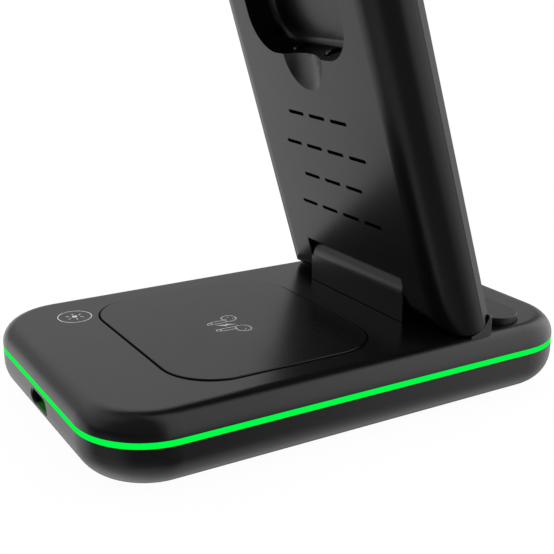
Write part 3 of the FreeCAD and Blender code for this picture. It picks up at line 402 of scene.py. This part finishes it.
LINE, given, result = new_tree("printed_line", ("Width", "Step", "Flatness"))
path_curve = LINE.nodes.new("GeometryNodeMeshToCurve")
smooth_curve = LINE.nodes.new("GeometryNodeCurveSplineType")
smooth_curve.spline_type = "CATMULL_ROM"
even = LINE.nodes.new("GeometryNodeResampleCurve")
even.mode = "LENGTH"
profile = LINE.nodes.new("GeometryNodeCurvePrimitiveCircle")
profile.inputs["Resolution"].default_value = 8
half = LINE.nodes.new("ShaderNodeMath")
half.operation = "MULTIPLY"
half.inputs[1].default_value = 0.5
sweep = LINE.nodes.new("GeometryNodeCurveToMesh")
sweep.inputs["Fill Caps"].default_value = True
scale = LINE.nodes.new("ShaderNodeCombineXYZ")
scale.inputs["X"].default_value = 1.0
scale.inputs["Y"].default_value = 1.0
flat = LINE.nodes.new("GeometryNodeTransform")
for a, b in (
        (given.outputs["Geometry"], path_curve.inputs["Mesh"]),
        (path_curve.outputs["Curve"], smooth_curve.inputs["Curve"]),
        (smooth_curve.outputs["Curve"], even.inputs["Curve"]),
        (given.outputs["Step"], even.inputs["Length"]),
        (given.outputs["Width"], half.inputs[0]),
        (half.outputs[0], profile.inputs["Radius"]),
        (even.outputs["Curve"], sweep.inputs["Curve"]),
        (profile.outputs["Curve"], sweep.inputs["Profile Curve"]),
        (sweep.outputs["Mesh"], flat.inputs["Geometry"]),
        (given.outputs["Flatness"], scale.inputs["Z"]),
        (scale.outputs[0], flat.inputs["Scale"])):
    LINE.links.new(a, b)
finish_tree(LINE, flat.outputs["Geometry"], given, result)

DOTS, given, result = new_tree("printed_dots", ("Radius",))
disc = DOTS.nodes.new("GeometryNodeMeshCircle")
disc.fill_type = "NGON"
disc.inputs["Vertices"].default_value = 20
spots = DOTS.nodes.new("GeometryNodeInstanceOnPoints")
DOTS.links.new(given.outputs["Geometry"], spots.inputs["Points"])
DOTS.links.new(given.outputs["Radius"], disc.inputs["Radius"])
DOTS.links.new(disc.outputs["Mesh"], spots.inputs["Instance"])
finish_tree(DOTS, spots.outputs["Instances"], given, result)

RAYS, given, result = new_tree("printed_rays", ("Length", "Width"))
bar = RAYS.nodes.new("GeometryNodeMeshGrid")
turn = RAYS.nodes.new("FunctionNodeAlignRotationToVector")
turn.axis = "X"
spot = RAYS.nodes.new("GeometryNodeInputPosition")
spokes = RAYS.nodes.new("GeometryNodeInstanceOnPoints")
bar.inputs["Vertices X"].default_value = 2
bar.inputs["Vertices Y"].default_value = 2
RAYS.links.new(given.outputs["Length"], bar.inputs["Size X"])
RAYS.links.new(given.outputs["Width"], bar.inputs["Size Y"])
RAYS.links.new(spot.outputs["Position"], turn.inputs["Vector"])
RAYS.links.new(given.outputs["Geometry"], spokes.inputs["Points"])
RAYS.links.new(bar.outputs["Mesh"], spokes.inputs["Instance"])
RAYS.links.new(turn.outputs["Rotation"], spokes.inputs["Rotation"])
finish_tree(RAYS, spokes.outputs["Instances"], given, result)
print("print trees:", LINE.name, DOTS.name, RAYS.name)


# %% Growing a print
def grow(name, tree, points, edges=(), **sizes):
    """A plain mesh from points and a geometry tree."""
    mesh = bpy.data.meshes.new(name)
    mesh.from_pydata([(x * MM, y * MM, 0.0) for x, y in points], list(edges), [])
    thing = bpy.data.objects.new(name, mesh)
    bpy.context.scene.collection.objects.link(thing)
    work = thing.modifiers.new("grow", "NODES")
    work.node_group = tree
    for item in tree.interface.items_tree:
        if item.in_out == "INPUT" and item.name == "Ink":
            work[item.identifier] = ink
        elif item.in_out == "INPUT" and item.name in sizes:
            work[item.identifier] = sizes[item.name]
    graph = bpy.context.evaluated_depsgraph_get()
    made = bpy.data.meshes.new_from_object(thing.evaluated_get(graph))
    thing.modifiers.clear()
    thing.data = made
    return thing


def place_print(name, things, x, y, z, finish=ink):
    """Join the parts of a print or of painted shade and set them on the base."""
    corners, faces = [], []
    for thing in things:
        first = len(corners)
        corners += [(v.co.x + x * MM, v.co.y + y * MM, v.co.z + z * MM) for v in thing.data.vertices]
        faces += [[first + i for i in face.vertices] for face in thing.data.polygons]
        bpy.data.objects.remove(thing)
    mesh = bpy.data.meshes.new(name)
    mesh.from_pydata(corners, [], faces)
    mesh.materials.append(finish)
    whole = bpy.data.objects.new(name, mesh)
    bpy.context.scene.collection.objects.link(whole)
    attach(whole, "base")
    heights = [corner[2] for corner in corners]
    print(name, "faces:", len(faces), "z:", round(min(heights), 6), round(max(heights), 6))


def chain(count, closed):
    """Edges from point to point, joined at the end if closed."""
    return [(i, (i + 1) % count) for i in range(count if closed else count - 1)]


def circle_points(radius, count):
    """Points at even steps round a circle."""
    angles = [math.tau * i / count for i in range(count)]
    return [(radius * math.cos(angle), radius * math.sin(angle)) for angle in angles]


LINE_SIZES = {"Width": 0.26 * MM, "Step": 0.15 * MM, "Flatness": 0.08}
PRINT_LIFT = 0.015
print("printing tools ready")

# %% Touch symbol
BASE_TOP = 18.7
TOUCH_X, TOUCH_Y = 25.6, 48.1
RING_RADIUS, RING_POINTS = 4.4, 40
RAY_RADIUS, RAY_COUNT = 1.92, 6
ring = grow("ring", LINE, circle_points(RING_RADIUS, RING_POINTS), chain(RING_POINTS, True), **LINE_SIZES)
rays = grow("rays", RAYS, circle_points(RAY_RADIUS, RAY_COUNT), Length=0.85 * MM, Width=0.3 * MM)
sun = grow("sun", DOTS, [(0.1, 0.0)], Radius=0.75 * MM)
place_print("touch_symbol", [ring, rays, sun], TOUCH_X, TOUCH_Y, BASE_TOP + PRINT_LIFT)

# %% [markdown]
# The earbuds are drawn once, on one side of their mirror line, and mirrored for the other. The bolt between
# them is one filled outline.

# %% Earbud symbol
PAD_TOP = 19.0
PAD_Y = 15.5
MIRROR = -0.8
HEAD = [(5.32, 0.13), (6.0, -1.12), (5.94, -2.58), (4.6, -3.36), (3.13, -3.16), (2.07, -1.99),
        (2.06, -0.22), (3.38, 0.26), (4.58, 0.37)]
STEM_OUTER = [(3.4, 0.4), (3.5, 2.47), (3.4, 3.97), (3.0, 5.22)]
STEM_INNER = [(2.1, 0.1), (1.95, 1.94), (1.98, 3.94), (2.06, 5.32)]
STEM_END = [(2.06, 5.32), (2.55, 5.5), (3.0, 5.22)]
STEM_CAP = [(1.99, 4.3), (3.32, 4.35)]
BOLT = [(-1.67, -1.28), (0.15, 1.25), (-0.56, 1.19), (0.41, 4.02), (-1.73, 1.52), (-0.89, 1.51)]
MARKS = [(4.02, -1.63), (2.62, -2.36), (3.0, -0.37), (-5.55, -1.73)]
MARK_RADIUS = 0.22 * MM

buds = []
for way in (1, -1):
    for run in (HEAD, STEM_OUTER, STEM_INNER, STEM_END, STEM_CAP):
        points = [(MIRROR + way * x, y) for x, y in run]
        buds.append(grow("bud line", LINE, points, chain(len(points), run is HEAD), **LINE_SIZES))
buds.append(grow("marks", DOTS, MARKS, Radius=MARK_RADIUS))
bolt_mesh = bpy.data.meshes.new("bolt")
bolt_mesh.from_pydata([(x * MM, y * MM, 0.0) for x, y in BOLT], [], [(0, 1, 2, 5), (2, 3, 4, 5)])
bolt = bpy.data.objects.new("bolt", bolt_mesh)
bpy.context.scene.collection.objects.link(bolt)
place_print("earbud_symbol", buds + [bolt], 0.0, PAD_Y, PAD_TOP + PRINT_LIFT)

# %% [markdown]
# ## Painted shade in dull black
# Two small things are duller than the housing, and both paint shade. A thin line lies in the gap round the earbud
# pad, and its path is the pad's outline. A small block sits behind each bright pin in the pocket, over its latch
# slot. Both start from a rounded rectangle.

# %% Rounded outline
def rounded(half_x, half_y, corner, steps):
    """Corner points of a rounded rectangle, anticlockwise."""
    points = []
    for turn_x, turn_y, first in ((1, 1, 0), (-1, 1, 90), (-1, -1, 180), (1, -1, 270)):
        for step in range(steps + 1):
            angle = math.radians(first + 90.0 * step / steps)
            points.append((turn_x * (half_x - corner) + corner * math.cos(angle),
                           turn_y * (half_y - corner) + corner * math.sin(angle)))
    return points


def spaced(points, longest):
    """A closed run of points, none further apart than a length."""
    run = []
    for (x, y), (next_x, next_y) in zip(points, points[1:] + points[:1]):
        parts = math.ceil(math.dist((x, y), (next_x, next_y)) / longest)
        run += [(x + (next_x - x) * i / parts, y + (next_y - y) * i / parts) for i in range(parts)]
    return run


# This dull black reflects almost nothing, so pieces made of it paint shade in gaps and slots.
painted_shade_black = grained("dull black", (0.001, 0.001, 0.001), 0.9, swing=0.05, specular=0.05)
print("trim finish:", painted_shade_black.name)

# %% Painted shade round the earbud pad
# A dull black line in the gap round the earbud pad, wider than the gap, paints the shade in it.
PAINTED_SHADE_SET = 0.22
PAINTED_SHADE_SIZES = {"Width": 0.7 * MM, "Step": 0.8 * MM, "Flatness": 0.15}
PAD_CORNER = 13.0
CORNER_STEPS = 8
POINT_SPACING = 2.6
pad_low, pad_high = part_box("earbud_pad")
shade_half_x, shade_half_y = ((high - low) / 2 / MM + PAINTED_SHADE_SET for low, high in zip(pad_low[:2], pad_high[:2]))
shade_path = spaced(rounded(shade_half_x, shade_half_y, PAD_CORNER + PAINTED_SHADE_SET, CORNER_STEPS), POINT_SPACING)
painted_gap_line = grow("painted_gap_line", LINE, shade_path, chain(len(shade_path), True), **PAINTED_SHADE_SIZES)
place_print("pad_painted_shade", [painted_gap_line], 0.0, PAD_Y, BASE_TOP, painted_shade_black)

# %% [markdown]
# The blocks of painted shade in the pocket are built straight from their corner points in the upright's own axes:
# across, up the slab and out of its front. All lengths are in millimetres from the hinge.

# %% Painted shade at the latch slots
LEAN = math.radians(72.94)
LATCH_CENTRES = (8.5, -6.5)
LATCH_FOOT, LATCH_HEAD = 64.30, 64.68
LATCH_DEPTH = -0.55
LATCH_HALF_WIDTH, LATCH_HALF_LENGTH, LATCH_CORNER = 1.1, 1.15, 0.6
LATCH_CORNER_STEPS = 4
hinge = Vector(frame["joints"][0]["pos_m"])
across = Vector((1.0, 0.0, 0.0))
up_slab = Vector((0.0, math.cos(LEAN), math.sin(LEAN)))
to_front = Vector((0.0, -math.sin(LEAN), math.cos(LEAN)))
outline = rounded(LATCH_HALF_WIDTH, LATCH_HALF_LENGTH, LATCH_CORNER, LATCH_CORNER_STEPS)
count = len(outline)
corners, faces = [], []
for centre in LATCH_CENTRES:
    foot = range(len(corners), len(corners) + count)
    head = range(foot.stop, foot.stop + count)
    for height in (LATCH_FOOT, LATCH_HEAD):
        corners += [hinge + MM * ((centre + x) * across + height * up_slab + (LATCH_DEPTH + n) * to_front)
                    for x, n in outline]
    faces += [list(foot), list(reversed(head))]
    faces += [[foot[i], head[i], head[(i + 1) % count], foot[(i + 1) % count]] for i in range(count)]
# Dull black blocks at each latch slot paint the shade of the slot, over a wider place than the slot in the part.
latch_shade_mesh = bpy.data.meshes.new("latch_painted_shade")
latch_shade_mesh.from_pydata(corners, [], faces)
latch_shade_mesh.materials.append(painted_shade_black)
latch_painted_shade = bpy.data.objects.new("latch_painted_shade", latch_shade_mesh)
bpy.context.scene.collection.objects.link(latch_painted_shade)
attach(latch_painted_shade, "upright")
print("latch pads:", len(faces), "faces")

# %% [markdown]
# ## The studio light
# A photographer lights black plastic by what it reflects: a white sweep on the far side, a tall window on the
# near side, a pale card on the table and a dim room elsewhere. The group below gives the room's light for any
# direction, so one small graph replaces many lamps. Between sweep and window stays a dark gap, which draws
# the edges. Each row of the table is one soft step: an axis, the two places along it between which the step
# lies, and the values before and after it.

# %% Steps of light in the room
ACROSS = (1.0, 0.0, 0.0)
AHEAD = (0.0, -1.0, 0.0)
UP = (0.0, 0.0, 1.0)
FAR_SIDE = (0.75, -0.66, 0.0)
SWEEP_EDGE = (-1.0, -0.35, 0.8)
BEHIND = (0.76, -0.52, -0.39)
CARD = (-0.10, 0.80, -0.59)
ROOM_LEVEL = 0.01
STEPS = {
    "sweep_side": (FAR_SIDE, -0.40, 0.0, 0.0, 1.0),
    "sweep_low": (UP, 0.15, 0.36, 1.0, 0.0),
    "sweep_top": (SWEEP_EDGE, -0.10, 0.06, 1.0, 0.0),
    "sweep_level": (UP, -0.75, -0.25, 0.46, 0.90),
    "sweep_dip": (UP, -0.10, 0.20, 0.0, -0.50),
    "sweep_rise": (UP, 0.24, 0.50, 0.0, 0.52),
    "behind_part": (BEHIND, 0.82, 0.96, 1.0, 0.05),
    "window_side": (ACROSS, 0.32, 0.54, 1.0, 0.0),
    "window_start": (AHEAD, -0.12, 0.20, 0.0, 1.0),
    "window_sill": (UP, -0.50, -0.15, 0.0, 1.0),
    "window_level": (AHEAD, 0.40, 0.62, 1.05, 1.45),
    "window_shade": (UP, -0.20, 0.30, 0.78, 1.0),
    "table_level": (UP, -0.95, -0.60, 0.80, 0.13),
    "table_ahead": (AHEAD, -0.3, 0.3, 1.0, 0.4),
    "table_end": (UP, -0.10, 0.10, 1.0, 0.0),
    "card": (CARD, 0.88, 0.99, 0.0, 0.3),
    "fill_height": (UP, 0.0, 0.25, 0.0, 1.0),
    "fill_end": (AHEAD, -0.45, 0.10, 1.0, 0.0),
    "fill_level": (ACROSS, -0.2, 0.45, 0.14, 0.65),
}
room, room_in, room_out = new_group("studio_room", [("Direction", "Vector")], [("Light", "Float")])
steps = {name: soft_step(room, along(room, room_in.outputs["Direction"], axis), *limits)
         for name, (axis, *limits) in STEPS.items()}
print("steps of light:", len(steps))


# %% Room group
def mingle(operation, *names):
    """One operation over several steps of the room."""
    return combine(room, operation, *(steps[name] for name in names))


sweep_light = combine(room, "MULTIPLY", mingle("MAXIMUM", "sweep_low", "sweep_top"),
                      mingle("ADD", "sweep_level", "sweep_dip", "sweep_rise"),
                      steps["sweep_side"], steps["behind_part"])
window_light = mingle("MULTIPLY", "window_side", "window_start", "window_sill", "window_level", "window_shade")
table_light = mingle("MULTIPLY", "table_level", "table_ahead", "table_end")
fill_light = mingle("MULTIPLY", "fill_height", "fill_end", "fill_level")
brightest = combine(room, "MAXIMUM", sweep_light, fill_light, window_light)
light = combine(room, "ADD", brightest, table_light, steps["card"], ROOM_LEVEL)
room.links.new(light, room_out.inputs["Light"])
print("studio room:", len(room.nodes), "nodes")

# %% World
world = bpy.data.worlds.new("studio")
bpy.context.scene.world = world
world.use_nodes = True
sky = world.node_tree
sky.nodes.clear()
place = sky.nodes.new("ShaderNodeTexCoord")
path = sky.nodes.new("ShaderNodeLightPath")
studio = use(sky, room)
sky.links.new(place.outputs["Generated"], studio.inputs["Direction"])
seen = add(sky, "Background", Color=(1, 1, 1, 1), Strength=1.0)
felt = add(sky, "Background", Color=(1, 1, 1, 1))
sky.links.new(studio.outputs["Light"], felt.inputs["Strength"])
white_rays = calculate(sky, "MAXIMUM", path.outputs["Is Camera Ray"], path.outputs["Is Transmission Ray"])
mix = sky.nodes.new("ShaderNodeMixShader")
out = sky.nodes.new("ShaderNodeOutputWorld")
sky.links.new(white_rays, mix.inputs[0])
sky.links.new(felt.outputs[0], mix.inputs[1])
sky.links.new(seen.outputs[0], mix.inputs[2])
sky.links.new(mix.outputs[0], out.inputs["Surface"])
print("world:", world.name)

# %% [markdown]
# ## The floor and the overhead lamp
# The floor is white paper. To the camera most of it glows, so that only a faint shadow stays, and
# reflections look through it to the sweep. The lamp lights matt things evenly and stays out of reflections.

# %% Floor
FLOOR_HALF = 4.0
GLOW_SHARE = 0.97
floor_mesh = bpy.data.meshes.new("floor")
floor_mesh.from_pydata([(x * FLOOR_HALF, y * FLOOR_HALF, 0.0) for x, y in ((-1, -1), (1, -1), (1, 1), (-1, 1))],
                       [], [(0, 1, 2, 3)])
floor = bpy.data.objects.new("floor", floor_mesh)
bpy.context.scene.collection.objects.link(floor)
paper, tree, out = new_material("white paper")
matt = add(tree, "BsdfDiffuse", Color=(0.95, 0.95, 0.95, 1.0))
glow = add(tree, "Emission", Color=(1, 1, 1, 1), Strength=1.0)
clear = add(tree, "BsdfTransparent")
rays_of = tree.nodes.new("ShaderNodeLightPath")
for_camera = tree.nodes.new("ShaderNodeMixShader")
for_gloss = tree.nodes.new("ShaderNodeMixShader")
shown = calculate(tree, "MULTIPLY", rays_of.outputs["Is Camera Ray"], GLOW_SHARE)
tree.links.new(shown, for_camera.inputs[0])
tree.links.new(matt.outputs[0], for_camera.inputs[1])
tree.links.new(glow.outputs[0], for_camera.inputs[2])
tree.links.new(rays_of.outputs["Is Glossy Ray"], for_gloss.inputs[0])
tree.links.new(for_camera.outputs[0], for_gloss.inputs[1])
tree.links.new(clear.outputs[0], for_gloss.inputs[2])
tree.links.new(for_gloss.outputs[0], out.inputs["Surface"])
floor_mesh.materials.append(paper)

# %% Overhead lamp
LAMP_SPREAD = math.radians(100)
LAMP_POWER = 1.8
overhead = bpy.data.lights.new("overhead lamp", "SUN")
overhead.angle = LAMP_SPREAD
overhead.energy = LAMP_POWER
lamp = bpy.data.objects.new("overhead lamp", overhead)
lamp.location = (0.0, 0.0, 1.0)
lamp.visible_glossy = False
bpy.context.scene.collection.objects.link(lamp)
print("floor and lamp ready")

# %% [markdown]
# ## The camera
# The view was solved from the light line, the outline and the vent rows: a camera behind the charger and to
# its left, a little above it. Its three axes come from azimuth, elevation and a slight roll.

# %% Camera
AZIMUTH = math.radians(239.264)
ELEVATION = math.radians(17.873)
ROLL = math.radians(0.143)
CAMERA_PLACE = (-0.216952, 0.130254, 0.110619)
FOCAL_LENGTH = 65.646
SENSOR_WIDTH = 36.0
NEAREST = 0.01
back = Vector((math.sin(AZIMUTH) * math.cos(ELEVATION), -math.cos(AZIMUTH) * math.cos(ELEVATION),
               math.sin(ELEVATION)))
side = Vector((math.cos(AZIMUTH), math.sin(AZIMUTH), 0.0))
above = back.cross(side)
right = side * math.cos(ROLL) + above * math.sin(ROLL)
top = above * math.cos(ROLL) - side * math.sin(ROLL)
lens = bpy.data.cameras.new("camera")
lens.lens = FOCAL_LENGTH
lens.sensor_width = SENSOR_WIDTH
lens.clip_start = NEAREST
camera = bpy.data.objects.new("camera", lens)
camera.matrix_world = Matrix.Translation(CAMERA_PLACE) @ Matrix((right, top, back)).transposed().to_4x4()
bpy.context.scene.collection.objects.link(camera)
bpy.context.scene.camera = camera
bpy.context.scene.view_settings.view_transform = "Standard"
print("camera at", [round(v, 4) for v in camera.matrix_world.translation])
